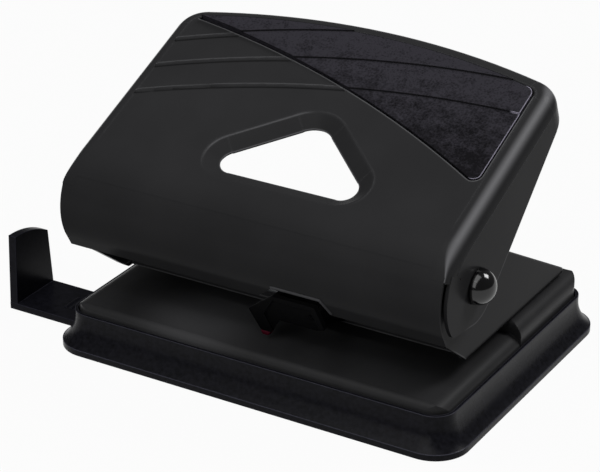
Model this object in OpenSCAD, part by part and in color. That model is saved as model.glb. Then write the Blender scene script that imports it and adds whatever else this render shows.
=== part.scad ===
// Two-hole desk punch: a pressed handle over a saddle frame, on a base plate and a chip tray.
// The front faces -Y, +Z is up and the tray stands on z = 0.

/* [Frame] */
// Width over the frame's cheeks
frame_w = 113; // [106:1:130]
// Sheet thickness of the frame and the punch bridge
frame_t = 1.4; // [1:0.1:1.6]
// Outer bend radius of the frame and the punch bridge
bend_r = 2.4; // [2:0.1:3]
// Front edge of the frame's web
web_front_y = -20; // [-21:0.5:-19]
// Rear end of the cheeks
cheek_rear_y = 36.8; // [34:0.2:38]
// Radius of the cheeks' front round the pivot
cheek_front_r = 15.9; // [15:0.1:16.2]
// Angle round the pivot at which the cheeks' front runs out straight
cheek_turn = 35; // [30:1:40]
// Point at which the cheeks' front turns in to the foot, in depth and height
cheek_knee = [-36.2, 28.4]; // [-40:0.1:32]
// Radius of the cheeks' rounded foot at the front
cheek_nose_r = 2; // [1.5:0.1:3]
// Centre of the cheeks' rounded foot at the front
cheek_nose_y = -21.3; // [-22:0.1:-20.5]
// Radius of the cheeks' rear corner
cheek_corner_r = 2.5; // [2:0.1:3]

/* [Base plate] */
// Depth of the base plate
plate_d = 85.4; // [82:0.2:94]
// How far the base plate stands out beyond each cheek
plate_margin = 3.1; // [2:0.1:5]
// Height of the paper table
plate_z = 14; // [13.6:0.1:16]
// Sheet thickness of the base plate
plate_t = 1.2; // [0.9:0.1:1.4]
// Edge radius at the front and the rear
plate_edge_r = 1.8; // [1.6:0.1:3]
// Edge radius at the sides
plate_side_r = 4; // [3:0.1:4.5]
// Corner radius of the base plate
plate_corner = 5.4; // [4.5:0.1:8]
// Height of the rear deck above the table, which is the throat for the paper
throat = 3.5; // [3:0.1:4.5]
// Place of the paper stop
stop_y = 3.5; // [2:0.1:5]

/* [Chip tray] */
// Height of the tray's rim
tray_h = 11.2; // [10.8:0.1:12.4]
// Corner radius of the tray's foot
tray_corner = 10.4; // [9.5:0.1:14]
// How far the foot stands out beyond the rim
tray_flare = 3.9; // [2.5:0.1:5]
// Width of the flat ledge on the foot's edge
tray_ledge = 0.2; // [0.1:0.05:0.5]
// Wall thickness of the tray
tray_wall = 1.4; // [1.1:0.1:1.7]
// Floor thickness of the tray
tray_floor = 1.8; // [1.4:0.1:2.2]
// Thickness of the rim's upright lip
lip_t = 0.9; // [0.7:0.1:1.2]
// Gap between the lip and the base plate
lip_gap = 0.4; // [0.3:0.05:0.7]
// Depth of the base plate's seat below the rim
seat_depth = 1.9; // [1.5:0.1:2.2]
// Width of the base plate's seat
seat_w = 1.6; // [1.4:0.1:2]

/* [Handle] */
// Sheet thickness of the handle
sheet = 1; // [0.8:0.05:1.2]
// Distance of the front face from the pivot
face_r = 18.2; // [17.6:0.1:20]
// Radius of the bulge below the front face
bulge_r = 17.2; // [17:0.1:17.6]
// How far the front face runs on below the pivot, down to the bulge
bulge_s = 1.4; // [1.4:0.1:1.6]
// Slope of the front face
face_slope = 22.7; // [20:0.1:25]
// Length of the front face from above the pivot to its top
face_l = 68; // [64:0.5:76]
// Radius of the arched top edge
top_r = 220; // [180:5:300]
// Radius of the upper corners
handle_corner = 9; // [7:0.5:12]
// Radius of the folded edges
fold_r = 5; // [3.5:0.1:5.5]
// Radius of the ears round the pivot
ear_r = 11.2; // [9:0.1:11.6]
// Slope of the walls' rear edge against the front face
rear_slope = 19.8; // [17:0.1:22]
// Angle round the bulge at which the folded walls end
fold_end = 31; // [28:0.1:36]
// Radius of the walls' rounded front inside the skirt
wall_front_r = 15; // [14.5:0.1:15.4]
// Radius of the walls' lower front corner
wall_corner_r = 3; // [2:0.1:4]
// Angle round the bulge of the walls' lower front corner
wall_corner_turn = 105; // [95:1:110]
// Radius of the skirt's upper corners
skirt_corner_r = 2.5; // [1.5:0.1:3.5]
// Angle round the bulge at which the skirt runs out straight
skirt_end = 97; // [92:0.5:100]
// Length of the skirt's straight part
skirt_l = 4.2; // [3:0.1:6]
// Height of the notch's top edge below the pivot
notch_drop = 7; // [6:0.1:10]
// Width of the notch at its top
notch_w = 15; // [12:0.5:16]
// How far the notch widens to the left and to the right for each millimetre down
notch_spread = [1.2, 0.45]; // [0.2:0.05:1.4]
// Middle of the notch
notch_x = 15.7; // [12:0.1:16]

/* [Finger hole] */
// Middle of the finger hole
hole_x = 2.6; // [0:0.1:6]
// Distance of the hole's lower edge up the front face
hole_s = 3.9; // [3.9:0.1:5]
// Width of the hole's outline across its sharp corners
hole_w = 55.2; // [48:0.2:58]
// Height of the hole's outline up to its sharp corner
hole_h = 24.2; // [23:0.1:25]
// Radius of the two lower corners
hole_base_r = 4; // [3:0.1:4.5]
// Radius of the upper corner
hole_top_r = 6.5; // [4:0.1:8]
// Width of the dished rim
dish_w = 4.9; // [4:0.1:4.9]
// Slope of the dished rim
dish_slope = 30; // [20:1:35]
// Bend radius at the top of the dished rim
dish_bend = 1.6; // [1.5:0.1:2]

/* [Grip pad] */
// Distance of the pad's edge from the handle's outline
pad_inset = 5.7; // [5.5:0.1:8]
// Radius of the pad's lower edge
pad_arc_r = 325; // [280:5:380]
// Point where the pad's lower edge bows out, across and up the front face
pad_arc_at = [3.5, 40.6]; // [0:0.1:50]
// Tilt of the pad's lower edge
pad_tilt = 19.5; // [17:0.1:22]
// Radius of the pad's lower right corner
pad_corner_r = 2.5; // [1.5:0.1:4]
// Depth of the pad's pressed seat
pad_sink = 0.8; // [0.5:0.05:0.9]
// Height of the lowest terrace above the front face
pad_proud = 0.3; // [0.1:0.05:0.6]
// Height of one terrace step
pad_step = 0.4; // [0.15:0.05:0.4]
// Gap round the pad
pad_gap = 0.4; // [0.2:0.05:0.6]
// Radius of the crease lines
crease_r = 265; // [240:5:300]
// Place across the handle at which the crease lines are highest
crease_x = 52; // [46:1:58]
// Height of the lowest crease line up the front face
crease_s = 45.3; // [44:0.1:47]
// Pitch of the crease lines
crease_pitch = 11.35; // [10:0.05:12]
// Radius of the pressed crease beads
bead_r = 1; // [0.8:0.05:1.3]
// Height of the crease beads above the front face
bead_proud = 0.45; // [0.15:0.05:0.5]

/* [Pivot] */
// Depth of the pivot axis
pivot_y = -27.4; // [-28.5:0.1:-26.5]
// Height of the pivot axis
pivot_z = 43.6; // [43:0.1:46]
// Radius of the cross pin
pin_r = 2.5; // [2:0.1:3]
// Thickness of the spacers between cheek and wall
washer_t = 2.7; // [1.5:0.1:3.5]
// Radius of the spacers
washer_r = 5; // [4:0.1:6]
// Radius of the domed caps
cap_r = 5.1; // [4.6:0.1:6]
// Depth of the cross pin in a cap
cap_grip = 2.8; // [2:0.1:3.2]

/* [Punches] */
// Distance between the two holes
hole_pitch = 80; // [70:1:84]
// Distance of the holes from the paper stop
hole_margin = 12; // [10:0.5:13]
// Radius of the punch pins
punch_r = 2.75; // [2.5:0.05:3]
// Radius of the punch pins' heads
head_r = 4.5; // [4.2:0.1:5]
// Height of the punch pins' heads
head_h = 2.5; // [2:0.1:3]
// Height of the punch tips above the web's underside at rest
tip_rise = 0.5; // [0.3:0.1:1]
// Radius of the hollow ground into the punch tips
tip_hollow_r = 6; // [5:0.5:9]
// Radius of the rolled noses that press on the heads
nose_r = 2.2; // [1.8:0.1:2.6]
// Height of the noses above the pivot axis
nose_rise = 2.2; // [1.8:0.1:2.6]
// Width of the presser brackets
presser_w = 12; // [8:0.5:12]
// Thickness of the presser brackets
presser_t = 2; // [1.5:0.1:2.4]
// Length of the presser brackets' flange on the handle
flange_l = 10; // [6:0.5:12]
// Height of the punch bridge over the web
bridge_h = 10.4; // [9.5:0.1:11]
// Depth of the punch bridge
bridge_d = 17; // [14:0.5:18]
// Length of the punch bridge
bridge_w = 98; // [94:1:102]
// Depth of the bridge's foot on the web
foot_d = 14; // [12:0.5:16]
// Thickness of the retaining clips
clip_t = 0.7; // [0.5:0.05:0.9]
// Radius of the retaining clips
clip_r = 4.4; // [4:0.1:5]
// Depth of the clips' groove in the punch pins
groove = 0.55; // [0.4:0.05:0.7]
// Wire radius of the springs
wire_r = 0.4; // [0.3:0.05:0.45]
// Number of turns of the springs
spring_turns = 5; // [4:0.5:6]

/* [Rivets] */
// Radius of the rivets' shanks
rivet_r = 1.5; // [1:0.1:2]
// Height of the rivets' heads
rivet_head = 1.2; // [0.8:0.1:1.6]
// Places of the rivets across the frame
rivet_x = [16, 44]; // [10:1:46]
// Distance of the rear rivets from the cheeks' rear end
rivet_rear = 11; // [8:0.5:14]

/* [Paper guide] */
// Front edge of the guide's bar
guide_front_y = -37.2; // [-38:0.1:-36]
// Width of the guide's bar
guide_w = 18; // [14:0.5:19]
// Thickness of the guide's bar
guide_t = 2; // [1.5:0.1:2.4]
// How far the fence stands out from the tray's foot
guide_reach = 19; // [6:1:60]
// Length of the bar inside the tray's foot
guide_inside = 89; // [80:1:100]
// Thickness of the fence
fence_t = 2.5; // [2:0.1:3]
// Height of the fence's top
fence_h = 25.4; // [20:0.2:30]
// Radius of the fence's bowed top
fence_r = 28; // [24:1:60]
// Slant of the fence's front and rear edges
fence_draft = 1; // [0:0.1:1.5]
// Gap round the bar in its runners
guide_gap = 0.3; // [0.2:0.05:0.5]
// Length of the runners
runner_l = 55; // [40:1:60]
// Thickness of the runners
runner_t = 1.2; // [1:0.1:1.6]

/* [Centre guide] */
// Left end of the centre guide
pointer_x = -3.5; // [-6:0.5:-2]
// Right end of the centre guide's top
pointer_right = 18.8; // [16:0.1:20]
// Wall thickness of the centre guide
pointer_t = 1.6; // [1.2:0.1:2]
// Height of the centre guide's top
pointer_z = 31.5; // [30:0.1:32]
// Width and drop of the slanted left shoulder
pointer_shoulder = [8.9, 7]; // [6:0.1:9]
// Place of the pointed leg's tip
pointer_tip_x = 0.2; // [-1:0.1:1]
// Depth at which the pointed leg ends
pointer_tip_y = -34.5; // [-36:0.1:-32]
// Height of the right leg's end
pointer_leg_z = 24; // [23:0.1:25]
// Room for paper under the pointed leg
pointer_room = 2; // [1.5:0.1:3]
// Gap between the centre guide and the skirt
pointer_gap = 0.5; // [0.3:0.1:1]

/* [Clearances] */
// Running clearance round pins and punches
run = 0.05; // [0.02:0.01:0.08]
// Gap between parts that move past each other
gap = 0.3; // [0.2:0.05:0.4]
// Gap between the base plate and its seat
seat_gap = 0.2; // [0.1:0.05:0.3]
// Gap between noses and punch heads at rest
press_gap = 0.1; // [0.05:0.01:0.2]

/* [Hidden] */
$fn = 64;
fine = 360;
over = 1;
far = 400;
sides = [-1, 1];
// Swept edges are drawn this much inside the sheet that they run into, and lap by this angle
skin = 0.02;
lap = 2;
// Angle by which bends run on inside the sheet, shortened with the margin of a section
dish_past = 10;
fold_past = 4;
end_trim = 20;
// Straight lengths stop short of a corner, and the skirt starts inside the bulge
run_in = 0.05;
skirt_lap = 0.3;
// Slit between the folded edges and the walls' front, as an angle
slit = 2;

deck_z = plate_z + throat;
web_top = deck_z + frame_t;
plate_w = frame_w + 2 * plate_margin;
rim_w = plate_w + 2 * (lip_gap + lip_t);
rim_d = plate_d + 2 * (lip_gap + lip_t);
rim_corner = tray_corner - tray_flare;
tray_w = rim_w + 2 * tray_flare;
tray_d = rim_d + 2 * tray_flare;
seat_z = tray_h - seat_depth;
plate_bottom = seat_z + seat_gap;
cove_w = tray_flare - tray_ledge;
cove_r = (pow(seat_z - tray_floor, 2) + pow(cove_w, 2)) / (2 * cove_w);

cheek_corner_at = [cheek_rear_y - cheek_corner_r, deck_z + cheek_corner_r / 2];
cheek_nose_at = [cheek_nose_y, deck_z + cheek_nose_r];
pivot_at = [pivot_y, pivot_z];
cheek_run = cheek_corner_at - pivot_at;
cheek_slope = asin((ear_r - cheek_corner_r) / norm(cheek_run)) - atan2(cheek_run.y, cheek_run.x);
cheek_up = [sin(cheek_slope), cos(cheek_slope)];
cheek_fall = cheek_nose_at - cheek_knee;
nose_slope = atan2(cheek_fall.y, cheek_fall.x) - asin(cheek_nose_r / norm(cheek_fall));
nose_down = [sin(nose_slope), -cos(nose_slope)];
frame_h = pivot_z + ear_r + over - deck_z;

wall_in = frame_w / 2 + washer_t + gap;
handle_half = wall_in + sheet;
top_at = [0, face_l - top_r];
corner_turn = asin((handle_half - handle_corner) / (top_r - handle_corner));
corner_at = [handle_half - handle_corner, top_at.y + (top_r - handle_corner) * cos(corner_turn)];
rear_foot = ear_r * [sin(rear_slope), -cos(rear_slope)];
bulge_at = [-bulge_s, face_r - bulge_r];
wall_corner_at = bulge_at + (wall_front_r - wall_corner_r) * forward(wall_corner_turn);
wall_fall = atan2(wall_corner_at.y, wall_corner_at.x) + acos((ear_r - wall_corner_r) / norm(wall_corner_at));
wall_down = [cos(wall_fall), sin(wall_fall)];
bulge_y = pivot_y + bulge_at.x * cos(face_slope) - bulge_at.y * sin(face_slope);
bulge_z = pivot_z + bulge_at.x * sin(face_slope) + bulge_at.y * cos(face_slope);

hole_points = [
    [hole_x - hole_w / 2, hole_s], [hole_x + hole_w / 2, hole_s], [hole_x, hole_s + hole_h]
];
hole_radii = [hole_base_r, hole_base_r, hole_top_r];
dish_flank = (dish_w - dish_bend * sin(dish_slope)) / cos(dish_slope);
pad_arc_centre = pad_arc_at - pad_arc_r * [sin(pad_tilt), cos(pad_tilt)];
crease_lines = [for (k = [0:2]) crease_s + k * crease_pitch];

punch_x = hole_pitch / 2;
punch_y = stop_y - hole_margin;
arm = punch_y - pivot_y;
nose_s = arm * cos(face_slope) + nose_rise * sin(face_slope);
nose_up = nose_rise * cos(face_slope) - arm * sin(face_slope);
head_top = pivot_z + nose_rise - nose_r - press_gap;
head_foot = head_top - head_h;
tip_z = deck_z + tip_rise;
bridge_top = web_top + bridge_h;
bridge_y0 = punch_y - bridge_d / 2;
bridge_y1 = punch_y + bridge_d / 2;
clip_z = bridge_top - frame_t - gap - clip_t;
rivet_rear_y = cheek_rear_y - rivet_rear;
rivet_bridge_y = bridge_y1 + foot_d - 3 * rivet_r;

// Front of the centre guide at its top, just inside the slanted skirt
skirt_lean = skirt_end + face_slope - 90;
skirt_in = bulge_r - sheet - pointer_gap;
pointer_top_y = bulge_y - (skirt_in + (pointer_z - bulge_z) * sin(skirt_lean)) / cos(skirt_lean);
pointer_foot = plate_z + pointer_room;

pin_end = handle_half + gap + cap_grip;
guide_z = tray_floor + guide_gap;
guide_top = guide_z + guide_t;
guide_rear_y = guide_front_y + guide_w;
fence_x = -tray_w / 2 - guide_reach;

// Rounded rectangle about the origin
module rounded_rect(w, d, r) {
    square([w - 2 * r, d], center = true);
    square([w, d - 2 * r], center = true);
    for (x = sides, y = sides) translate([x * (w / 2 - r), y * (d / 2 - r)]) circle(r);
}

// Section from x0 to x1 and from z0 to z1 with its two upper corners rounded
module dome_2d(x0, x1, z0, z1, r) {
    translate([x0, z0]) square([x1 - x0, z1 - r - z0]);
    translate([x0 + r, z0]) square([x1 - x0 - 2 * r, z1 - z0]);
    for (x = [x0 + r, x1 - r]) translate([x, z1 - r]) circle(r);
}

// Channel section of sheet, open at its foot
module channel_2d(x0, x1, z0, z1, r, t) {
    difference() {
        dome_2d(x0, x1, z0, z1, r);
        dome_2d(x0 + t, x1 - t, z0 - over, z1 - t, r - t);
    }
}

// Extrudes an outline drawn in x and z along y, over the whole depth
module along_y() {
    rotate([90, 0, 0]) linear_extrude(far, center = true) children();
}

// Extrudes an outline drawn in y and z along x, from x0 to x1
module along_x(x0, x1) {
    translate([x0, 0, 0]) rotate([90, 0, 90]) linear_extrude(x1 - x0) children();
}

// Straight stretch of a profile along the right side of a rounded rectangle
module side_run(w, d, r) {
    translate([w / 2, d / 2 - r, 0]) rotate([90, 0, 0]) linear_extrude(d - 2 * r) children();
}

// Sweeps a profile round a rounded rectangle, with x of the profile pointing outward
module around(w, d, r) {
    for (turn = [0, 180]) rotate(turn) {
        side_run(w, d, r) children();
        rotate(90) side_run(d, w, r) children();
        translate([w / 2 - r, d / 2 - r, 0]) rotate_extrude(angle = 90) translate([r, 0]) children();
        translate([-w / 2 + r, d / 2 - r, 0]) rotate(90) rotate_extrude(angle = 90)
            translate([r, 0]) children();
    }
}

// Places a shape drawn about the pivot, with y up the front face and z out of it
module on_lever() {
    translate([0, pivot_y, pivot_z]) rotate([face_slope, 0, 0]) children();
}

// Revolves a section drawn in radius and x about the middle of the bulge, forward from the front face
module round_bulge(from, to) {
    translate([0, bulge_at.x, bulge_at.y]) rotate([180, -90, 0]) rotate(from)
        rotate_extrude(angle = to - from, $fn = fine) children();
}

// Direction ahead of the pivot, down by an angle
function ahead(turn) = [-cos(turn), -sin(turn)];

// Direction out of the bulge at an angle forward from the front face
function forward(turn) = [-sin(turn), cos(turn)];

// Corner points of a rounded polygon: centres of the corner arcs and outward normals of the edges
function unit(v) = v / norm(v);
function next(list, i) = list[(i + 1) % len(list)];
function prev(list, i) = list[(i + len(list) - 1) % len(list)];
function edge_normal(points, i) =
    let (d = unit(next(points, i) - points[i])) [d.y, -d.x];
function arc_centre(points, radii, i) =
    let (
        back = unit(prev(points, i) - points[i]),
        on = unit(next(points, i) - points[i]),
        half = acos(back * on) / 2
    )
    points[i] + unit(back + on) * radii[i] / sin(half);
function heading(v) = atan2(v.y, v.x);
function before(points, i) = edge_normal(points, (i + len(points) - 1) % len(points));

// Rounded polygon, grown outward by a margin, with its corner arcs drawn shy of the edges
module rounded_polygon(points, radii, grow, shy = 0) {
    count = len(points);
    polygon([
        for (i = [0 : count - 1], n = [before(points, i), edge_normal(points, i)])
            arc_centre(points, radii, i) + n * (radii[i] + grow)
    ]);
    for (i = [0 : count - 1]) translate(arc_centre(points, radii, i)) circle(radii[i] + grow - shy);
}

// Rivet with a coned head above z1 and a set tail below z0
module rivet(z0, z1) {
    head = 2 * rivet_r;
    rotate_extrude() polygon([
        [0, z0 - rivet_head / 2], [head, z0 - rivet_head / 2], [head, z0], [rivet_r, z0],
        [rivet_r, z1], [head, z1], [head, z1 + rivet_head / 3],
        [rivet_r, z1 + rivet_head], [0, z1 + rivet_head]
    ]);
}

module at_rivets(y) {
    for (x = rivet_x, side = sides) translate([side * x, y, 0]) children();
}

module rivet_holes() {
    for (y = [rivet_bridge_y, rivet_rear_y]) at_rivets(y) cylinder(h = far, r = rivet_r, center = true);
}

module at_punches(z) {
    for (side = sides) translate([side * punch_x, punch_y, z]) children();
}

// Wall of the tray in section, with x outward from the rim
module tray_wall_2d() {
    translate([-lip_t, seat_z]) square([lip_t, seat_depth]);
    translate([-lip_t - seat_w, seat_z - tray_wall]) square([lip_t + seat_w, tray_wall]);
    intersection() {
        translate([-tray_wall, tray_floor / 2]) square([tray_wall + cove_w, seat_z - tray_floor / 2]);
        translate([cove_r, seat_z]) difference() {
            circle(cove_r + tray_wall, $fn = fine);
            circle(cove_r, $fn = fine);
        }
    }
}

// Section of the two runners, hooked over the edges of the guide's bar
module runner_2d() {
    hook_z = guide_top + guide_gap;
    for (side = [0, 1]) translate([guide_front_y + guide_w / 2, 0]) mirror([side, 0]) {
        translate([guide_w / 2 + guide_gap, 0]) square([runner_t, hook_z + runner_t]);
        translate([guide_w / 2 - runner_t, hook_z]) square([2 * runner_t + guide_gap, runner_t]);
    }
}

module chip_tray() {
    runner_x = -rim_w / 2 - tray_wall / 4;
    color("#1b1b1d") difference() {
        union() {
            linear_extrude(tray_floor) rounded_rect(tray_w, tray_d, tray_corner);
            around(rim_w, rim_d, rim_corner) tray_wall_2d();
            along_x(runner_x, runner_x + runner_l) runner_2d();
        }
        translate([-tray_w, guide_front_y - guide_gap, tray_floor])
            cube([tray_w - rim_w / 2 + tray_wall, guide_w + 2 * guide_gap, guide_t + 2 * guide_gap]);
    }
}

// Side view of the fence, with a bowed top that falls to the rear
module fence_2d() {
    intersection() {
        polygon([
            [guide_front_y, guide_z], [guide_rear_y, guide_z],
            [guide_rear_y - 2 * fence_draft, fence_h], [guide_front_y + fence_draft, fence_h]
        ]);
        translate([guide_front_y + 2 * fence_draft, fence_h - fence_r]) circle(fence_r, $fn = fine);
    }
}

module paper_guide() {
    color("#121214") {
        along_x(fence_x - fence_t, fence_x) fence_2d();
        translate([fence_x - fence_t, guide_front_y, guide_z])
            cube([fence_t + guide_reach + guide_inside, guide_w, guide_t]);
    }
}

// Outer form of the base plate, or its hollow when drawn smaller by one sheet
module plate_form(in, foot) {
    half = plate_w / 2 - in;
    front = -plate_d / 2 + in;
    rear = plate_d / 2 - in;
    intersection() {
        translate([0, 0, foot]) linear_extrude(far)
            rounded_rect(plate_w - 2 * in, plate_d - 2 * in, plate_corner - in);
        union() {
            intersection() {
                along_y() dome_2d(-half, half, foot, plate_z - in, plate_side_r - in);
                along_x(-far, far) dome_2d(front, rear, foot, plate_z - in, plate_edge_r - in);
            }
            intersection() {
                along_y() dome_2d(-half, half, foot, deck_z - in, plate_side_r - in);
                along_x(-far, far) dome_2d(stop_y + in, rear, foot, deck_z - in, plate_edge_r - in);
            }
        }
    }
}

module base_plate() {
    color("#161617") difference() {
        plate_form(0, plate_bottom);
        plate_form(plate_t, plate_bottom - over);
        at_punches(0) cylinder(h = deck_z, r = punch_r + run);
        rivet_holes();
    }
}

// Side view of the frame: round front, ear at the pivot and an upper edge that falls to the rear
module cheek_2d() {
    intersection() {
        translate(pivot_at) circle(cheek_front_r, $fn = fine);
        translate(pivot_at) polygon(far * [[0, 0], [-1, 1], [-1, 0], ahead(cheek_turn + 5 * lap)]);
    }
    translate(cheek_nose_at) circle(cheek_nose_r);
    translate(pivot_at) circle(ear_r);
    translate(cheek_corner_at) circle(cheek_corner_r);
    polygon([
        [cheek_nose_y, deck_z], [cheek_rear_y, deck_z], [cheek_rear_y, cheek_corner_at.y],
        cheek_corner_at + cheek_corner_r * cheek_up, pivot_at + ear_r * cheek_up, pivot_at,
        pivot_at + (cheek_front_r - 5 * skin) * ahead(cheek_turn), cheek_knee,
        cheek_nose_at + cheek_nose_r * nose_down
    ]);
}

module frame() {
    color("#2c2c2e") difference() {
        intersection() {
            translate([0, 0, deck_z]) mirror([0, 0, 1]) along_y()
                channel_2d(-frame_w / 2, frame_w / 2, -frame_h, 0, bend_r, frame_t);
            along_x(-far, far) cheek_2d();
        }
        translate([bend_r - frame_w / 2, web_front_y - far, 0])
            cube([frame_w - 2 * bend_r, far, web_top + over]);
        at_punches(0) cylinder(h = far, r = punch_r + run);
        rivet_holes();
        translate([0, pivot_y, pivot_z]) rotate([0, 90, 0]) cylinder(h = far, r = pin_r, center = true);
    }
}

module punch_bridge() {
    color("#8a8c8f") difference() {
        union() {
            along_x(-bridge_w / 2, bridge_w / 2)
                channel_2d(bridge_y0, bridge_y1, web_top, bridge_top, bend_r, frame_t);
            translate([-bridge_w / 2, bridge_y1 - frame_t, web_top])
                cube([bridge_w, foot_d + frame_t, frame_t]);
        }
        at_punches(0) cylinder(h = far, r = punch_r + run);
        rivet_holes();
    }
}

module frame_rivets() {
    color("#77797c") at_rivets(rivet_rear_y) rivet(deck_z - plate_t, web_top);
}

module bridge_rivets() {
    color("#77797c") at_rivets(rivet_bridge_y) rivet(deck_z - plate_t, web_top + frame_t);
}

module pivot_pin() {
    color("#8a8c8f") translate([0, pivot_y, pivot_z]) rotate([0, 90, 0])
        cylinder(h = 2 * pin_end, r = pin_r, center = true);
}

module pivot_cap(side) {
    color("#0c0c0d") translate([side * (handle_half + gap), pivot_y, pivot_z]) difference() {
        intersection() {
            sphere(cap_r);
            translate([side * cap_r, 0, 0]) cube(2 * cap_r, center = true);
        }
        rotate([0, 90, 0]) cylinder(h = 2 * cap_grip, r = pin_r, center = true);
    }
}

module left_pivot_cap() {
    pivot_cap(-1);
}

module right_pivot_cap() {
    pivot_cap(1);
}

module pivot_washer(side) {
    color("#1d1d1f") translate([side * (frame_w + washer_t) / 2, pivot_y, pivot_z]) rotate([0, 90, 0])
        difference() {
            cylinder(h = washer_t, r = washer_r, center = true);
            cylinder(h = washer_t + 2 * over, r = pin_r, center = true);
        }
}

module left_pivot_washer() {
    pivot_washer(-1);
}

module right_pivot_washer() {
    pivot_washer(1);
}

// Side view of the centre guide's slanted front, between two depths behind its face
module pointer_side_2d(from, to) {
    polygon([
        [pointer_top_y + from, pointer_z], [pointer_tip_y + from, pointer_foot],
        [pointer_tip_y + to, pointer_foot], [pointer_top_y + to, pointer_z]
    ]);
}

// Front view of the centre guide: slanted left shoulder, pointed left leg and short right leg
module pointer_front_2d() {
    polygon([
        [pointer_x, pointer_z - pointer_shoulder.y], [pointer_x + pointer_shoulder.x, pointer_z],
        [pointer_right, pointer_z], [pointer_right + pointer_t, pointer_leg_z],
        [pointer_right - pointer_t, pointer_leg_z - pointer_t],
        [pointer_x + pointer_shoulder.x, pointer_leg_z - pointer_t],
        [pointer_tip_x + pointer_t / 2, pointer_foot], [pointer_tip_x - pointer_t / 2, pointer_foot]
    ]);
}

// Panel between the legs, set back from the face
module pointer_panel_2d() {
    polygon([
        [pointer_x + 3 * pointer_t, pointer_leg_z], [pointer_x + pointer_shoulder.x, pointer_z - pointer_t],
        [pointer_right - pointer_t, pointer_z - pointer_t], [pointer_right, pointer_leg_z],
        [pointer_right, pointer_foot], [pointer_tip_x + 2 * pointer_t, pointer_foot]
    ]);
}

// Side view of a rib that ties the front to the frame's web
module pointer_rib_2d() {
    back = web_front_y - gap;
    polygon([
        [pointer_top_y + pointer_t, pointer_leg_z + 2 * pointer_t],
        [pointer_tip_y, pointer_leg_z - pointer_t / 2], [back, deck_z + pointer_t / 2], [back, web_top],
        [bridge_y0 - gap, web_top], [bridge_y0 - gap, web_top + 2 * pointer_t],
        [back, pointer_leg_z + 2 * pointer_t]
    ]);
}

module centre_guide() {
    color("#141415") {
        difference() {
            intersection() {
                along_x(-far, far) pointer_side_2d(0, pointer_t);
                along_y() pointer_front_2d();
            }
            intersection() {
                along_x(-far, far) pointer_side_2d(-over, pointer_t / 2);
                along_y() pointer_panel_2d();
            }
        }
        for (x = [pointer_tip_x + pointer_t / 2, pointer_right - 2 * pointer_t])
            along_x(x, x + pointer_t) pointer_rib_2d();
        along_x(pointer_tip_x, pointer_right) translate([web_front_y - gap, web_top])
            square([bridge_y0 - web_front_y, pointer_t]);
    }
}

// Outline of the front face, drawn smaller by a margin
module face_outline(in) {
    half = handle_half - in;
    translate([-half, -bulge_s]) square([2 * half, corner_at.y + bulge_s]);
    for (side = sides) translate([side * corner_at.x, corner_at.y]) circle(handle_corner - in);
    intersection() {
        translate(top_at) circle(top_r - in, $fn = 4 * fine);
        translate(top_at) polygon([
            [0, 0], far * [sin(corner_turn), cos(corner_turn)], far * [-sin(corner_turn), cos(corner_turn)]
        ]);
        translate([-half, 0]) square([2 * half, face_l]);
    }
}

// Outline of the grip pad, drawn larger by a margin, with a fillet at its lower right corner
module pad_outline(grow) {
    half = handle_half - pad_inset + grow;
    arc = pad_arc_r - grow;
    corner = pad_corner_r + grow;
    across = half - corner - pad_arc_centre.x;
    reach = [across, sqrt(pow(arc + corner, 2) - pow(across, 2))];
    at = pad_arc_centre + reach;
    difference() {
        face_outline(pad_inset - grow);
        translate(pad_arc_centre) circle(arc, $fn = 4 * fine);
        difference() {
            polygon([
                at, at + [corner + over, 0], at + [corner + over, -3 * corner],
                at - (corner + over) * unit(reach)
            ]);
            translate(at) circle(corner + skin);
        }
    }
}

// Quarter round of the folded edge, with x outward from the handle's outline.
// It is thinner than the sheet by a margin, and its ends run on inside the face and the wall.
module fold_2d(in) {
    past = fold_past - in * end_trim;
    translate([-fold_r, face_r - fold_r]) intersection() {
        difference() {
            circle(fold_r - in);
            circle(fold_r - sheet + in);
        }
        polygon(2 * fold_r * [[0, 0], [-sin(past), cos(past)], [1, 1], [cos(past), -sin(past)]]);
    }
}

// Folded edge with the wall that hangs from it
module hem_2d(in) {
    fold_2d(in);
    translate([-sheet + in, 0]) square([sheet - 2 * in, face_r - fold_r]);
}

// Side view of the rear trim: all that lies above the slanted rear edge of the walls
module rear_trim_2d() {
    polygon([
        rear_foot, rear_foot + far * [cos(rear_slope), sin(rear_slope)], [far, far],
        bulge_at + far * forward(fold_end), bulge_at
    ]);
}

// Side view of a wall, from its front inside the skirt to the start of the upper corner
module wall_2d() {
    circle(ear_r);
    intersection() {
        translate(bulge_at) circle(wall_front_r, $fn = fine);
        translate(bulge_at) polygon(far * [
            [0, 0], forward(fold_end + slit), forward(wall_corner_turn / 2), forward(wall_corner_turn + slit)
        ]);
    }
    translate(wall_corner_at) circle(wall_corner_r - skin);
    polygon([
        bulge_at, bulge_at + (wall_front_r - wall_corner_r) * forward(wall_corner_turn - slit),
        wall_corner_at, wall_corner_at + (wall_corner_r - skin) * wall_down, (ear_r - skin) * wall_down, [0, 0]
    ]);
    intersection() {
        rear_trim_2d();
        union() {
            translate(bulge_at) circle(bulge_r - fold_r);
            translate([-bulge_s, -ear_r]) square([corner_at.y + bulge_s, face_r - fold_r + ear_r]);
        }
    }
}

// Bulge over the pivot in radius and x, without its walls
module bulge_2d() {
    translate([bulge_r - sheet, -handle_half + fold_r]) square([sheet, 2 * (handle_half - fold_r)]);
    for (side = [0, 1]) mirror([0, side]) translate([bulge_r - face_r, handle_half])
        rotate(-90) mirror([1, 0]) fold_2d(skin);
}

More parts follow.
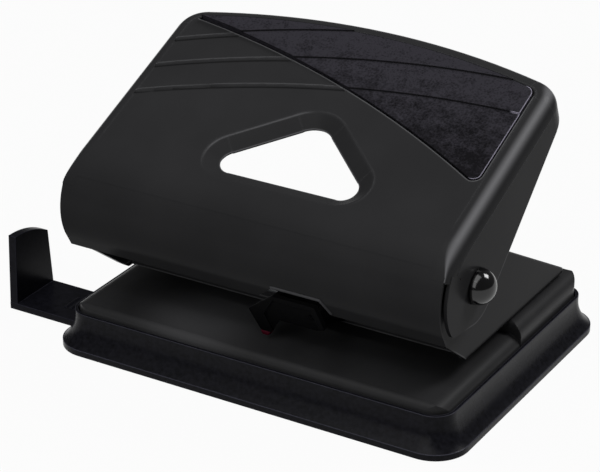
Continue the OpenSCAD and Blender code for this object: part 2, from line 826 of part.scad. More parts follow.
// Folded edges and walls of the handle
module handle_walls() {
    round_bulge(0, fold_end) bulge_2d();
    for (side = [0, 1]) mirror([side, 0, 0]) {
        along_x(wall_in, handle_half) wall_2d();
        translate([handle_half, corner_at.y, 0]) rotate([90, 0, 0])
            linear_extrude(corner_at.y + bulge_s) fold_2d(skin);
    }
    intersection() {
        union() {
            for (side = [0, 1]) mirror([side, 0, 0]) translate(corner_at) rotate(-lap)
                rotate_extrude(angle = 90 - corner_turn + 2 * lap)
                    translate([handle_corner, 0]) hem_2d(2 * skin);
            translate(top_at) rotate(90 - corner_turn)
                rotate_extrude(angle = 2 * corner_turn, $fn = 4 * fine) translate([top_r, 0]) hem_2d(skin);
        }
        along_x(-far, far) rear_trim_2d();
    }
}

// Section of the skirt, with x away from the bulge's middle; it is thinner than the sheet by a margin
module skirt_2d(in) {
    translate([bulge_r - sheet + in, in - wall_in]) square([sheet - 2 * in, 2 * (wall_in - in)]);
}

// What is cut from an upper corner of the skirt to round it
module skirt_corner() {
    across = skirt_corner_r + over;
    translate([wall_in - skirt_corner_r, bulge_at.x, bulge_at.y])
        rotate([fold_end + skirt_corner_r / bulge_r * 180 / PI, 0, 0]) translate([0, 0, bulge_r - 2 * sheet])
            difference() {
                cube([across, across, 4 * sheet]);
                translate([0, 0, -over]) cylinder(h = 4 * sheet + 2 * over, r = skirt_corner_r);
            }
}

// Skirt below the bulge, with its notch; each length laps into the one before
module skirt() {
    difference() {
        union() {
            round_bulge(fold_end - skirt_lap, skirt_end) skirt_2d(3 * skin);
            translate([0, bulge_at.x, bulge_at.y]) rotate([skirt_end + 90, 0, 0]) translate([0, 0, -run_in])
                linear_extrude(skirt_l + run_in) rotate(90) skirt_2d(4 * skin);
        }
        for (side = [0, 1]) mirror([side, 0, 0]) skirt_corner();
        foot = 2 * face_r;
        rotate([-face_slope, 0, 0]) translate([notch_x, 0, -notch_drop]) rotate([90, 0, 0])
            linear_extrude(far) polygon([
                [-notch_w / 2, 0], [-notch_w / 2 - foot * notch_spread.x, -foot],
                [notch_w / 2 + foot * notch_spread.y, -foot], [notch_w / 2, 0]
            ]);
    }
}

// Section of the dished rim, with x outward from the hole's edge: a flank and a bend into the face
module dish_2d(in) {
    past = dish_past - in * end_trim;
    inner = dish_bend - sheet + in;
    translate([dish_w, -dish_bend]) {
        intersection() {
            difference() {
                circle(dish_bend - in);
                circle(inner);
            }
            polygon(2 * dish_bend * [
                [0, 0], [sin(past), cos(past)], [0, 1], [-sin(dish_slope), cos(dish_slope)]
            ]);
        }
        rotate(dish_slope) translate([in * end_trim / 4 - dish_flank, inner])
            square([dish_flank - in * end_trim / 4, sheet - 2 * in]);
    }
}

// Dished rim round the finger hole: straight runs joined by corners that lap into them
module dish() {
    count = len(hole_points);
    for (i = [0 : count - 1]) {
        j = (i + 1) % count;
        n = edge_normal(hole_points, i);
        start = arc_centre(hole_points, hole_radii, i) + n * hole_radii[i];
        end = arc_centre(hole_points, hole_radii, j) + n * hole_radii[j];
        turn = (heading(n) - heading(before(hole_points, i)) + 360) % 360;
        translate(end) rotate(heading(n)) rotate([90, 0, 0]) translate([0, 0, run_in])
            linear_extrude(norm(end - start) - 2 * run_in) dish_2d(skin);
        translate(arc_centre(hole_points, hole_radii, i)) rotate(heading(before(hole_points, i)) - lap)
            rotate_extrude(angle = turn + 2 * lap) translate([hole_radii[i], 0]) dish_2d(2 * skin);
    }
}

// Beads pressed into the front face, up to the pad's seat
module creases() {
    intersection() {
        for (line = crease_lines) translate([crease_x, line - crease_r, face_r + bead_proud - bead_r])
            rotate(90) rotate_extrude(angle = 45, $fn = 4 * fine) translate([crease_r, 0]) circle(bead_r);
        translate([pad_arc_centre.x, pad_arc_centre.y, face_r - sheet / 2])
            cylinder(h = far, r = pad_arc_r - pad_gap, $fn = 4 * fine);
        translate([0, 0, face_r - sheet / 2]) linear_extrude(far) face_outline(fold_r);
    }
}

module handle() {
    color("#2b2b2d") on_lever() difference() {
        union() {
            difference() {
                union() {
                    translate([0, 0, face_r - sheet]) linear_extrude(sheet) face_outline(fold_r);
                    handle_walls();
                    creases();
                }
                translate([0, 0, face_r - sheet - over]) linear_extrude(far) {
                    rounded_polygon(hole_points, hole_radii, dish_w, skin);
                    pad_outline(0);
                }
            }
            translate([0, 0, face_r - sheet - pad_sink]) linear_extrude(sheet) pad_outline(sheet / 2);
            translate([0, 0, face_r]) dish();
            skirt();
        }
        rotate([0, 90, 0]) cylinder(h = far, r = pin_r + run, center = true);
    }
}

module grip_pad() {
    color("#27272a") on_lever() translate([0, 0, face_r - pad_sink]) {
        linear_extrude(pad_sink + pad_proud) pad_outline(-pad_gap);
        for (k = [0 : len(crease_lines) - 1]) linear_extrude(pad_sink + pad_proud + (k + 1) * pad_step)
            difference() {
                pad_outline(-pad_gap);
                translate([crease_x, crease_lines[k] - crease_r]) circle(crease_r, $fn = 4 * fine);
            }
    }
}

// Bracket inside the handle: a flange on the face, a leg square to it and a rolled nose
module presser(side) {
    color("#6f7174") on_lever() along_x(side * punch_x - presser_w / 2, side * punch_x + presser_w / 2) {
        under = face_r - sheet;
        translate([nose_s, nose_up]) circle(nose_r);
        translate([nose_s - presser_t / 2, nose_up]) square([presser_t, under - nose_up]);
        translate([nose_s + presser_t / 2 - flange_l, under - presser_t]) square([flange_l, presser_t]);
    }
}

module left_presser() {
    presser(-1);
}

module right_presser() {
    presser(1);
}

// Punch pin with a head, a clip groove and a hollow-ground tip
module punch(side) {
    chamfer = head_h / 4;
    color("#a9abae") translate([side * punch_x, punch_y, 0]) difference() {
        rotate_extrude() polygon([
            [0, tip_z], [punch_r, tip_z], [punch_r, clip_z], [punch_r - groove, clip_z],
            [punch_r - groove, clip_z + clip_t], [punch_r, clip_z + clip_t], [punch_r, head_foot],
            [head_r, head_foot], [head_r, head_top - chamfer], [head_r - chamfer, head_top], [0, head_top]
        ]);
        translate([0, 0, tip_z + punch_r / 4 - tip_hollow_r]) rotate([90, 0, 0])
            cylinder(h = 4 * punch_r, r = tip_hollow_r, center = true);
    }
}

module left_punch() {
    punch(-1);
}

module right_punch() {
    punch(1);
}

// Open retaining ring in the groove of a punch pin
module clip(side) {
    bore = punch_r - groove;
    color("#8a8c8f") translate([side * punch_x, punch_y, clip_z]) linear_extrude(clip_t) difference() {
        circle(clip_r);
        circle(bore);
        translate([-bore, 0]) square([2 * bore, clip_r + over]);
    }
}

module left_clip() {
    clip(-1);
}

module right_clip() {
    clip(1);
}

// Compression spring between the bridge and a punch head, with closed end turns
function coil_rise(t) = let (end = 0.12) t < end ? 0 : t > 1 - end ? 1 : (t - end) / (1 - 2 * end);

module spring(side) {
    rings = 72;
    round = 8;
    coil_r = punch_r + gap + wire_r;
    z0 = bridge_top + wire_r;
    z1 = head_foot - wire_r;
    function at(k, a) =
        let (t = k / rings, turn = 360 * spring_turns * t, r = coil_r + wire_r * cos(a))
        [
            r * cos(turn), r * sin(turn),
            z0 + (z1 - z0) * coil_rise(t) + wire_r * sin(a)
        ];
    points = [for (k = [0 : rings], s = [0 : round - 1]) at(k, 360 * s / round)];
    skin = [
        for (k = [0 : rings - 1], s = [0 : round - 1])
            let (a = k * round, b = a + round, next = (s + 1) % round) [a + s, b + s, b + next, a + next]
    ];
    start = [[for (s = [0 : round - 1]) s]];
    end = [[for (s = [round - 1 : -1 : 0]) rings * round + s]];
    color("#9a9c9f") translate([side * punch_x, punch_y, 0])
        polyhedron(points = points, faces = concat(skin, start, end), convexity = 10);
}

module left_spring() {
    spring(-1);
}

module right_spring() {
    spring(1);
}

chip_tray();
paper_guide();
base_plate();
frame();
punch_bridge();
frame_rivets();
bridge_rivets();
pivot_pin();
left_pivot_cap();
right_pivot_cap();
left_pivot_washer();
right_pivot_washer();
centre_guide();
handle();
grip_pad();
left_presser();
right_presser();
left_punch();
right_punch();
left_clip();
right_clip();
left_spring();
right_spring();
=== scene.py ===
import math

import bmesh
import bpy
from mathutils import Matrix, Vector


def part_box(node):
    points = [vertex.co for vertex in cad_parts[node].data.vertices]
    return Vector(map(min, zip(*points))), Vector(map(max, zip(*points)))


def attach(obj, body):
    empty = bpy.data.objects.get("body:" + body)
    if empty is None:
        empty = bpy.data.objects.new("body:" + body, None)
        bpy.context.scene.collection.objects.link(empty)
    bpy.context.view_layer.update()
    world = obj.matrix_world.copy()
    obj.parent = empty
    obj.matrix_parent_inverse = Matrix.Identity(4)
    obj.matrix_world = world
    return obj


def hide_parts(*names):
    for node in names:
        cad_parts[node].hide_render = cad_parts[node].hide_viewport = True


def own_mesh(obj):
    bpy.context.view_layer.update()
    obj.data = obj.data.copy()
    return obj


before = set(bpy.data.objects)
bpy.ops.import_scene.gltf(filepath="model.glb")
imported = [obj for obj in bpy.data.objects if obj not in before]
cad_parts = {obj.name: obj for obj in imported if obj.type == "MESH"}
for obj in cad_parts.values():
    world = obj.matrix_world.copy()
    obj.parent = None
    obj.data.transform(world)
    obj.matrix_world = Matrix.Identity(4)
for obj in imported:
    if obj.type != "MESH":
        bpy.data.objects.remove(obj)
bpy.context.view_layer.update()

bl_info = {
    "name": "Two-Hole Punch",
    "version": (1, 0, 0),
    "blender": (4, 5, 0),
    "location": "3D View > Sidebar > Punch",
    "description": "Finishes for a desk punch with a sloped pressed-steel handle",
    "category": "Object",
}

MM = 0.001
BLACK = (0, 0, 0, 1)
WHITE = (1, 1, 1, 1)

# Painted highlights and painted shade in the finishes: places, and stretches from where each starts to
# where it is full.
# A cosine of 1 is a flat surface, and it falls as the surface turns.
COAT_EDGE_R = 0.8 * MM
COAT_EDGE_COS = (0.999, 0.97)
MOULDED_EDGE_COS = (0.99, 0.9)
UPPER_FACE_Y = (-34 * MM, -30 * MM)
UPPER_FACE_HIGHLIGHT = 0.62
RIGHT_FOLD_X = (54 * MM, 56 * MM)
DISH_RIM_R = 1.6 * MM
DISH_RIM_HIGHLIGHT = 0.8
DISH_RIM_AT = (-12.5 * MM, -17.5 * MM, 67.4 * MM)
DISH_RIM_REACH = (17 * MM, 13 * MM)
CREASES_ACROSS = (-0.17, 1, 0)
CREASES_FROM = (-7 * MM, -5 * MM)
CREASE_UNDERSIDE = (-0.02, -0.1)
PLATE_LIGHT_AT = (-21 * MM, -32 * MM, 14 * MM)
PLATE_LIGHT_REACH = (24 * MM, 3 * MM)
PAD_RIM_INSET = (3 * MM, 2 * MM)
BEVEL_SAMPLES = 8

# Stops of the two painted highlight bands: where each starts, is palest and ends.
FOLD_BAND_FACING = (0.2, 0.58, 0.9)
DISH_BAND_COS = (0.94, 0.975, 0.997)

# Steps of the meshes.
SHARP_FROM = math.radians(40)
FOLD_STEPS = 24
FOLD_ROUND_STEPS = 8
FOLD_TUCK = 1.05
FOLD_INSET = 0.03 * MM
BEAD_SIDES = 12
BEAD_END_TURNS = (0.2, 0.7)
LIP_STEPS_ACROSS = 12
LIP_STEPS_DOWN = 6
TIP_STEPS = 4
GUIDE_SECTION_AT = 1 * MM
RIDGE_RINGS = ((-0.5, 1), (0.5, 1), (1, 0.7))
WIRE_SIDES = 12
COIL_STEPS = 48

# Stage, in metres and watts: each lamp's name, place, width and power.
LAMPS = (
    ("key_lamp", (0.56, 0.56, 0.9), 0.42, 8.5),
    ("top_lamp", (-0.05, -0.35, 1.1), 0.9, 6.3),
    ("front_lamp", (-0.1, -1.0, 0.7), 0.8, 4.8),
)
LAMP_TARGET = (0, 0, 0.03)
SKY_STRENGTH = 0.12
FLOOR_REACH = 4
FLOOR_STEPS = 8
SENSOR_WIDTH = 36
VIEW_REACH = 20

# Backdrop: the share of plain white that the paper shows, and its own brightness below that.
PAPER_LIFT = 0.96
PAPER_GREY = 0.25


def linear(hex_code):
    """Turns an sRGB hex colour into the linear colour that the shaders take."""
    parts = [int(hex_code[i:i + 2], 16) / 255 for i in (1, 3, 5)]
    return tuple(c / 12.92 if c <= 0.04045 else ((c + 0.055) / 1.055) ** 2.4 for c in parts)


def per_mm(size):
    """Scale of a pattern whose features are this many millimetres across."""
    return 1 / (size * MM)


class PunchColours(bpy.types.PropertyGroup):
    """Colours of the finishes."""

    powder: bpy.props.FloatVectorProperty(
        name="Powder coat", description="Charcoal coat of the handle and the frame",
        subtype="COLOR", size=3, min=0, max=1, default=linear("#2a2a2b"))
    # The thin coat's paler colour is a painted highlight on the lip of the skirt's notch.
    painted_light: bpy.props.FloatVectorProperty(
        name="Thin coat", description="Paler coat on the edge of the skirt's notch",
        subtype="COLOR", size=3, min=0, max=1, default=linear("#454547"))
    enamel: bpy.props.FloatVectorProperty(
        name="Base enamel", description="Black enamel of the base plate",
        subtype="COLOR", size=3, min=0, max=1, default=linear("#29292a"))
    tray: bpy.props.FloatVectorProperty(
        name="Tray", description="Black plastic of the chip tray",
        subtype="COLOR", size=3, min=0, max=1, default=linear("#131317"))
    guide: bpy.props.FloatVectorProperty(
        name="Paper guide", description="Black plastic of the paper guide",
        subtype="COLOR", size=3, min=0, max=1, default=linear("#131318"))
    # The centre guide's colour is darker than the black plastic's own, as painted shade for the shaded
    # hollow between its legs.
    pointer: bpy.props.FloatVectorProperty(
        name="Centre guide", description="Matt black plastic of the centre guide",
        subtype="COLOR", size=3, min=0, max=1, default=linear("#070708"))
    cap: bpy.props.FloatVectorProperty(
        name="Caps", description="Glossy plastic of the caps on the cross pin",
        subtype="COLOR", size=3, min=0, max=1, default=linear("#0a0a0b"))
    spacer: bpy.props.FloatVectorProperty(
        name="Spacers", description="Plastic of the washers between the walls and the frame",
        subtype="COLOR", size=3, min=0, max=1, default=linear("#1c1c1d"))
    rubber: bpy.props.FloatVectorProperty(
        name="Pad", description="Rubber of the grip pad",
        subtype="COLOR", size=3, min=0, max=1, default=linear("#1d1c20"))
    red: bpy.props.FloatVectorProperty(
        name="Red tip", description="Red lacquer on the tip of the pointed leg",
        subtype="COLOR", size=3, min=0, max=1, default=linear("#44091a"))
    zinc: bpy.props.FloatVectorProperty(
        name="Zinc", description="Zinc plating on the inner brackets, rivets and springs",
        subtype="COLOR", size=3, min=0, max=1, default=linear("#b3b5b8"))
    tool: bpy.props.FloatVectorProperty(
        name="Tool steel", description="Ground steel of the punch pins",
        subtype="COLOR", size=3, min=0, max=1, default=linear("#c6c7c9"))


class PunchDetails(bpy.types.PropertyGroup):
    """Sizes of the small pieces that are added to the solids."""

    bulge_at: bpy.props.FloatVectorProperty(
        name="Bulge's middle", description="Line that the handle's bulge is rounded about",
        subtype="TRANSLATION", unit="LENGTH", size=3, default=(0, -29.08 * MM, 43.98 * MM))
    bulge_r: bpy.props.FloatProperty(
        name="Bulge", description="Radius of the handle's bulge",
        unit="LENGTH", default=17.17 * MM)
    face_slope: bpy.props.FloatProperty(
        name="Slope", description="Slope of the handle's face",
        subtype="ANGLE", default=math.radians(22.7))
    run_from: bpy.props.FloatProperty(
        name="Run-out's start", description="Turn about the bulge's middle where a fold starts to narrow",
        subtype="ANGLE", default=math.radians(4))
    run_to: bpy.props.FloatProperty(
        name="Run-out's end", description="Turn about the bulge's middle where a fold ends in the skirt",
        subtype="ANGLE", default=math.radians(41))
    fold_wide: bpy.props.FloatProperty(
        name="Fold's width", description="Width of a fold where it starts to narrow",
        unit="LENGTH", default=4.94 * MM)
    fold_narrow: bpy.props.FloatProperty(
        name="Fold's end", description="Width of a fold where it ends in the skirt",
        unit="LENGTH", default=1.1 * MM)
    fold_drop: bpy.props.FloatProperty(
        name="Fold's drop", description="Height of a fold's round",
        unit="LENGTH", default=4.97 * MM)
    tail: bpy.props.FloatProperty(
        name="Fold's tail", description="Length of the run-out below its round",
        unit="LENGTH", default=2.3 * MM)
    wall: bpy.props.FloatProperty(
        name="Fold's wall", description="Thickness of the run-out",
        unit="LENGTH", default=0.7 * MM)
    lip: bpy.props.FloatProperty(
        name="Notch lip", description="Radius of the bead on the edge of the skirt's notch",
        unit="LENGTH", default=0.45 * MM)
    lip_left: bpy.props.FloatProperty(
        name="Lip's left end", description="Where the lip starts on the notch's top edge",
        unit="LENGTH", default=8.4 * MM)
    lip_right: bpy.props.FloatProperty(
        name="Lip's corner", description="Where the lip turns down at the notch's right corner",
        unit="LENGTH", default=23.2 * MM)
    lip_top: bpy.props.FloatProperty(
        name="Lip's height", description="Height of the notch's top edge",
        unit="LENGTH", default=36.7 * MM)
    lip_spread: bpy.props.FloatProperty(
        name="Lip's slant", description="How far the lip moves out for each length down",
        subtype="FACTOR", default=0.45)
    tip: bpy.props.FloatProperty(
        name="Red tip", description="Height of the red tip on the pointed leg",
        unit="LENGTH", default=1.4 * MM)
    coat: bpy.props.FloatProperty(
        name="Coat", description="Thickness of the red lacquer on the tip",
        unit="LENGTH", default=0.12 * MM)
    ridge: bpy.props.FloatVectorProperty(
        name="Ridges", description="Length, width and height of a ridge on the paper guide",
        unit="LENGTH", size=3, default=(1.0 * MM, 7.0 * MM, 0.2 * MM))
    ridge_pitch: bpy.props.FloatProperty(
        name="Ridge pitch", description="Distance between the ridges on the paper guide",
        unit="LENGTH", default=1.9 * MM)
    ridge_count: bpy.props.IntProperty(
        name="Ridge count", description="Number of ridges on the paper guide", default=3)
    wire: bpy.props.FloatProperty(
        name="Spring wire", description="Radius of the springs' wire",
        unit="LENGTH", default=0.4 * MM)
    coils: bpy.props.IntProperty(
        name="Coils", description="Turns of the springs, with the closed ones at the ends", default=5)
    closed: bpy.props.FloatProperty(
        name="Closed share", description="Share of a spring's wire in each closed end",
        subtype="FACTOR", default=0.12)
    stroke: bpy.props.FloatProperty(
        name="Stroke", description="How far the springs close as the pins go down",
        unit="LENGTH", default=6.7 * MM)


class PunchView(bpy.types.PropertyGroup):
    """Camera and stage."""

    place: bpy.props.FloatVectorProperty(
        name="Camera place", description="Where the camera stands",
        subtype="TRANSLATION", unit="LENGTH", size=3, default=(0.2960, -0.5112, 0.3175))
    azimuth: bpy.props.FloatProperty(
        name="Azimuth", description="Turn of the view from the front to the right",
        subtype="ANGLE", default=math.radians(30.86))
    elevation: bpy.props.FloatProperty(
        name="Elevation", description="Height of the view above level",
        subtype="ANGLE", default=math.radians(25.83))
    lens: bpy.props.FloatProperty(
        name="Lens", description="Focal length over a sensor 36 mm wide",
        unit="CAMERA", default=138.8)
    floor: bpy.props.FloatVectorProperty(
        name="Floor", description="Pale floor and backdrop",
        subtype="COLOR", size=3, min=0, max=1, default=linear("#ffffff"))


def live(sockets, key):
    """The socket at a place, or the one of a name that is in use."""
    if isinstance(key, int):
        return sockets[key]
    return next(socket for socket in sockets if socket.name == key and socket.enabled)


def add(tree, kind, values=None, links=None, stops=(), **settings):
    """Adds a shader node with its settings, socket values and links, and a ramp's stops."""
    made = tree.nodes.new(kind)
    for name, value in settings.items():
        setattr(made, name, value)
    for socket, value in (values or {}).items():
        live(made.inputs, socket).default_value = value
    for socket, (source, output) in (links or {}).items():
        tree.links.new(live(source.outputs, output), live(made.inputs, socket))
    for i, (position, colour) in enumerate(stops):
        ramp = made.color_ramp.elements
        stop = ramp[i] if i < len(ramp) else ramp.new(position)
        stop.position = position
        stop.color = colour
    return made


def new_material(name):
    """Makes an empty material and returns it with its shader tree."""
    material = bpy.data.materials.new(name)
    material.use_nodes = True
    material.node_tree.nodes.clear()
    return material, material.node_tree


def shade(value, factor):
    """A colour made lighter or darker, with full alpha."""
    return (*(min(1, c * factor) for c in value), 1)


def between(start, full):
    """Socket values of a mask that is none at the start and all where it is full."""
    return {"From Min": start, "From Max": full}


def edge_turn(tree, radius):
    """Adds a rounded normal and its cosine with the flat one, which falls at edges."""
    rounded = add(tree, "ShaderNodeBevel", {"Radius": radius}, samples=BEVEL_SAMPLES)
    flat = add(tree, "ShaderNodeNewGeometry")
    turn = add(tree, "ShaderNodeVectorMath", links={0: (rounded, "Normal"), 1: (flat, "Normal")},
               operation="DOT_PRODUCT")
    return rounded, turn


def coat_painted_light(tree, place, slope):
    """Adds masks of painted light on the coat: painted highlights on bent edges, the right fold and the
    dish's rim, and painted shade under the crease beads.
    """
    axes = add(tree, "ShaderNodeSeparateXYZ", links={"Vector": (place, "Object")})

    # Painted highlights on the bent edges of the upper face.
    bend, turn = edge_turn(tree, COAT_EDGE_R)
    upper_face = add(tree, "ShaderNodeMapRange", {**between(*UPPER_FACE_Y), "To Max": UPPER_FACE_HIGHLIGHT},
               {"Value": (axes, "Y")})
    edges = add(tree, "ShaderNodeMapRange", between(*COAT_EDGE_COS),
                {"Value": (turn, "Value"), "To Max": (upper_face, "Result")})

    # A painted highlight makes a pale band along the right fold.
    flat = add(tree, "ShaderNodeNewGeometry")
    faces = add(tree, "ShaderNodeSeparateXYZ", links={"Vector": (flat, "Normal")})
    fold = add(tree, "ShaderNodeValToRGB", links={"Fac": (faces, "X")},
               stops=zip(FOLD_BAND_FACING, (BLACK, WHITE, BLACK)))
    fold.color_ramp.interpolation = "EASE"
    right = add(tree, "ShaderNodeMapRange", between(*RIGHT_FOLD_X), {"Value": (axes, "X")})
    fold_highlight = add(tree, "ShaderNodeMath", links={0: (fold, "Color"), 1: (right, "Result")},
               operation="MULTIPLY")

    # A painted highlight on the upper left of the dish round the finger hole.
    rim = add(tree, "ShaderNodeBevel", {"Radius": DISH_RIM_R}, samples=BEVEL_SAMPLES)
    face = (0, -math.sin(slope), math.cos(slope))
    lean = add(tree, "ShaderNodeVectorMath", {1: face}, {0: (rim, "Normal")}, operation="DOT_PRODUCT")
    band = add(tree, "ShaderNodeValToRGB", links={"Fac": (lean, "Value")},
               stops=zip(DISH_BAND_COS, (BLACK, WHITE, BLACK)))
    band.color_ramp.interpolation = "EASE"
    far = add(tree, "ShaderNodeVectorMath", {1: DISH_RIM_AT}, {0: (place, "Object")},
              operation="DISTANCE")
    near = add(tree, "ShaderNodeMapRange", {**between(*DISH_RIM_REACH), "To Max": DISH_RIM_HIGHLIGHT},
               {"Value": (far, "Value")})
    dish_highlight = add(tree, "ShaderNodeMath", links={0: (band, "Color"), 1: (near, "Result")},
                 operation="MULTIPLY")

    most = add(tree, "ShaderNodeMath", links={0: (edges, "Result"), 1: (fold_highlight, "Value")},
               operation="MAXIMUM")
    painted_light = add(tree, "ShaderNodeMath", links={0: (most, "Value"), 1: (dish_highlight, "Value")},
                 operation="MAXIMUM")

    # Painted shade on the undersides of the crease beads, so each has a pale painted highlight with a
    # dark line below it.
    uphill = (0, math.cos(slope), math.sin(slope))
    climb = add(tree, "ShaderNodeVectorMath", {1: uphill}, {0: (bend, "Normal")},
                operation="DOT_PRODUCT")
    back = add(tree, "ShaderNodeVectorMath", {1: CREASES_ACROSS}, {0: (place, "Object")},
               operation="DOT_PRODUCT")
    rear = add(tree, "ShaderNodeMapRange", between(*CREASES_FROM), {"Value": (back, "Value")})
    painted_shade = add(tree, "ShaderNodeMapRange", between(*CREASE_UNDERSIDE),
                 {"Value": (climb, "Value"), "To Max": (rear, "Result")})
    return painted_light, painted_shade


def powder_coated_steel(name, colour, slope):
    """Pressed sheet steel with a baked powder coat."""
    # The powder melts into a satin skin with a faint orange peel. It shows a broad soft sheen,
    # a little cloudiness, painted highlights as paler lines, and painted shade under the crease beads.
    # The peel is about 0.5 mm on the real coat and is drawn at 0.9 mm so that it shows.
    material, tree = new_material(name)
    place = add(tree, "ShaderNodeTexCoord")
    cloud = add(tree, "ShaderNodeTexNoise", {"Scale": per_mm(22), "Detail": 3},
                {"Vector": (place, "Object")})
    peel = add(tree, "ShaderNodeTexNoise", {"Scale": per_mm(0.9), "Detail": 2},
               {"Vector": (place, "Object")})
    tint = add(tree, "ShaderNodeValToRGB", links={"Fac": (cloud, "Fac")},
               stops=((0.3, shade(colour, 0.92)), (0.7, shade(colour, 1.08))))
    rough = add(tree, "ShaderNodeMapRange", {"To Min": 0.20, "To Max": 0.24},
                {"Value": (cloud, "Fac")})
    painted_light, painted_shade = coat_painted_light(tree, place, slope)
    # The paler colour is a painted highlight, and the darker one is painted shade under the crease beads.
    painted_light_and_shade = add(tree, "ShaderNodeMix", {"A": shade(colour, 5), "B": shade(colour, 0.25)},
                {"Factor": (painted_shade, "Result")}, data_type="RGBA")
    tint_with_painted_light = add(tree, "ShaderNodeMix", data_type="RGBA",
               links={"Factor": (painted_light, "Value"), "A": (tint, "Color"), "B": (painted_light_and_shade, "Result")})
    bump = add(tree, "ShaderNodeBump", {"Strength": 0.10, "Distance": 0.05 * MM},
               {"Height": (peel, "Fac")})
    skin = add(tree, "ShaderNodeBsdfPrincipled", {"IOR": 1.5, "Specular IOR Level": 0.015},
               {"Base Color": (tint_with_painted_light, "Result"), "Roughness": (rough, "Result"),
                "Normal": (bump, "Normal")})
    add(tree, "ShaderNodeOutputMaterial", links={"Surface": (skin, "BSDF")})
    return material


def stoved_enamel(name, colour):
    """Stoving enamel on a pressed plate."""
    # Enamel flows out smoother than powder, so the plate is darker and mirrors the light softly.
    # Paper has rubbed it, which leaves short dull streaks along the way the sheets go in.
    # A paler place beside the pointer is a painted pool of light.
    material, tree = new_material(name)
    place = add(tree, "ShaderNodeTexCoord")
    along = add(tree, "ShaderNodeMapping", {"Scale": (1, 0.12, 1)}, {"Vector": (place, "Object")})
    rub = add(tree, "ShaderNodeTexNoise", {"Scale": per_mm(1.6), "Detail": 4},
              {"Vector": (along, "Vector")})
    wave = add(tree, "ShaderNodeTexNoise", {"Scale": per_mm(6), "Detail": 2},
               {"Vector": (place, "Object")})
    tint = add(tree, "ShaderNodeValToRGB", links={"Fac": (wave, "Fac")},
               stops=((0, shade(colour, 0.85)), (1, shade(colour, 1.15))))
    # Painted pool of light on the plate beside the pointer.
    far = add(tree, "ShaderNodeVectorMath", {1: PLATE_LIGHT_AT}, {0: (place, "Object")},
              operation="DISTANCE")
    painted_light = add(tree, "ShaderNodeMapRange", between(*PLATE_LIGHT_REACH), {"Value": (far, "Value")},
                 interpolation_type="SMOOTHSTEP")
    tint_with_painted_light = add(tree, "ShaderNodeMix", {"B": shade(colour, 2.6)},
               {"Factor": (painted_light, "Result"), "A": (tint, "Color")}, data_type="RGBA")
    rough = add(tree, "ShaderNodeMapRange", {"To Min": 0.30, "To Max": 0.44},
                {"Value": (rub, "Fac")})
    edge = add(tree, "ShaderNodeBevel", {"Radius": 0.5 * MM}, samples=4)
    bump = add(tree, "ShaderNodeBump", {"Strength": 0.06, "Distance": 0.1 * MM},
               {"Height": (wave, "Fac"), "Normal": (edge, "Normal")})
    skin = add(tree, "ShaderNodeBsdfPrincipled", {"IOR": 1.5, "Specular IOR Level": 0.1},
               {"Base Color": (tint_with_painted_light, "Result"), "Roughness": (rough, "Result"),
                "Normal": (bump, "Normal")})
    add(tree, "ShaderNodeOutputMaterial", links={"Surface": (skin, "BSDF")})
    return material


def moulded_plastic(name, colour, rough, level, grain, speck, rim):
    """Injection-moulded plastic with the texture of its mould."""
    # The mould's spark texture breaks the gloss a little, and the flow of the melt leaves
    # faint clouds. Edges are slightly round and carry a painted highlight as thin brighter lines.
    # The texture is about 0.1 mm on a real mould, and its grain is drawn coarser so that it shows.
    material, tree = new_material(name)
    place = add(tree, "ShaderNodeTexCoord")
    flow = add(tree, "ShaderNodeTexNoise", {"Scale": per_mm(14), "Detail": 2},
               {"Vector": (place, "Object")})
    spark = add(tree, "ShaderNodeTexNoise", {"Scale": per_mm(grain), "Detail": 2},
                {"Vector": (place, "Object")})
    tint = add(tree, "ShaderNodeValToRGB", links={"Fac": (spark, "Fac")},
               stops=((0.3, shade(colour, 1 - speck)), (0.7, shade(colour, 1 + speck))))
    dull = add(tree, "ShaderNodeMapRange", {"To Min": rough[0], "To Max": rough[1]},
               {"Value": (flow, "Fac")})
    # Painted highlight: the edges are mixed toward a paler colour by the factor rim.
    edge, turn = edge_turn(tree, 0.4 * MM)
    line = add(tree, "ShaderNodeMapRange", between(*MOULDED_EDGE_COS), {"Value": (turn, "Value")})
    pale = add(tree, "ShaderNodeMix", {"B": shade(colour, rim)},
               {"Factor": (line, "Result"), "A": (tint, "Color")}, data_type="RGBA")
    bump = add(tree, "ShaderNodeBump", {"Strength": 0.05, "Distance": 0.05 * MM},
               {"Height": (spark, "Fac"), "Normal": (edge, "Normal")})
    skin = add(tree, "ShaderNodeBsdfPrincipled", {"IOR": 1.49, "Specular IOR Level": level},
               {"Base Color": (pale, "Result"), "Roughness": (dull, "Result"),
                "Normal": (bump, "Normal")})
    add(tree, "ShaderNodeOutputMaterial", links={"Surface": (skin, "BSDF")})
    return material


